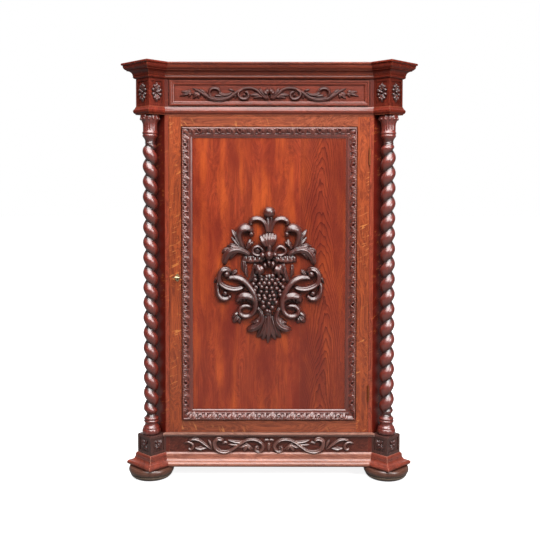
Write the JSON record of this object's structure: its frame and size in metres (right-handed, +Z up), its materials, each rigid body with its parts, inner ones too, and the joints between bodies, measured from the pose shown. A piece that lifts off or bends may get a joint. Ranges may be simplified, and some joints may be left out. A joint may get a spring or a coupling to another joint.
{
  "type": "bonnetiere cabinet",
  "caption": "Tall carved oak bonnetiere with one panelled door below a frieze drawer, twist columns on canted corners, shelves inside and bun feet.",
  "frame": {"origin": "centre of the bounding box on the floor under the feet", "axes": "+Z up, +X to the right of someone facing the door, -Y towards that person"},
  "size_m": [1.115, 0.5474, 1.5665],
  "materials": {
    "oak_panel": "red-stained oak boards under a glossy wax finish",
    "oak_frame": "orange-brown stained oak with quarter-sawn flecks, waxed",
    "oak_dark": "dark red-brown stained oak, polished",
    "oak_carving": "carved dark oak with wax shine on the high parts",
    "oak_inner": "plain unstained oak, dry",
    "brass": "worn polished brass",
    "iron": "darkened iron",
    "hinge_metal": "brass darkened with age"
  },
  "bodies": {
    "carcass": {"back_frame": "oak_inner", "back_panels": "oak_inner", "base_board": "oak_inner", "base_moulding_front": "oak_dark", "base_moulding_left": "oak_dark", "base_moulding_right": "oak_dark", "cornice_front": "oak_dark", "cornice_left": "oak_dark", "cornice_right": "oak_dark", "cupboard_floor": "oak_inner", "drawer_guides": "oak_inner", "dust_board": "oak_inner", "frame_hinge_leaves": "hinge_metal", "frame_hinge_screws": "iron", "frieze_block_left": "oak_dark", "frieze_block_right": "oak_dark", "frieze_rail": "oak_frame", "front_foot_left": "oak_dark", "front_foot_right": "oak_dark", "front_post_left": "oak_frame", "front_post_right": "oak_frame", "hinge_pins": "iron", "pedestal_left": "oak_dark", "pedestal_right": "oak_dark", "plinth_carving": "oak_carving", "plinth_ledge": "oak_dark", "plinth_rail": "oak_frame", "rear_feet": "oak_dark", "rear_posts": "oak_frame", "shelf_cleats": "oak_inner", "shelves": "oak_inner", "side_panels": "oak_panel", "side_rails": "oak_frame", "strike_plate": "brass", "top_board": "oak_inner", "twist_column_left": "oak_dark", "twist_column_right": "oak_dark", "waist_moulding_front": "oak_dark", "waist_moulding_sides": "oak_dark", "waist_rail": "oak_frame", "door_stop": "oak_inner"},
    "door": {"door_lock_stile": "oak_frame", "door_hinge_stile": "oak_frame", "door_rails": "oak_frame", "door_panel": "oak_panel", "door_mouldings": "oak_carving", "door_medallion": "oak_carving", "door_escutcheon": "brass", "door_lock_case": "iron", "door_hinge_leaves": "hinge_metal", "door_hinge_screws": "iron"},
    "key": {"door_key": "brass"},
    "lock_bolt": {"door_lock_bolt": "iron"},
    "drawer": {"drawer_front": "oak_frame", "drawer_box": "oak_inner", "drawer_mouldings": "oak_dark", "drawer_carving": "oak_carving", "drawer_lock_case": "iron"},
    "drawer_bolt": {"drawer_lock_bolt": "iron"}
  },
  "joints": [
    {"name": "door_swing", "type": "hinge", "parent": "carcass", "child": "door", "pos_m": [0.3775, -0.17016, 0.7688], "axis": [0, 0, 1], "range_deg": [0, 120]},
    {"name": "key_turn", "type": "hinge", "parent": "door", "child": "key", "pos_m": [-0.347, -0.16626, 0.764], "axis": [0, -1, 0], "range_deg": [0, 180]},
    {"name": "lock_bolt_slide", "type": "slide", "parent": "door", "child": "lock_bolt", "axis": [-1, 0, 0], "range_m": [0, 0.01]},
    {"name": "drawer_slide", "type": "slide", "parent": "carcass", "child": "drawer", "axis": [0, -1, 0], "range_m": [0, 0.28]},
    {"name": "drawer_bolt_slide", "type": "slide", "parent": "drawer", "child": "drawer_bolt", "axis": [0, 0, 1], "range_m": [0, 0.008]}
  ],
  "couplings": [
    {"joint": "key_turn", "follows": "lock_bolt_slide", "rad_per_m": 314}
  ]
}
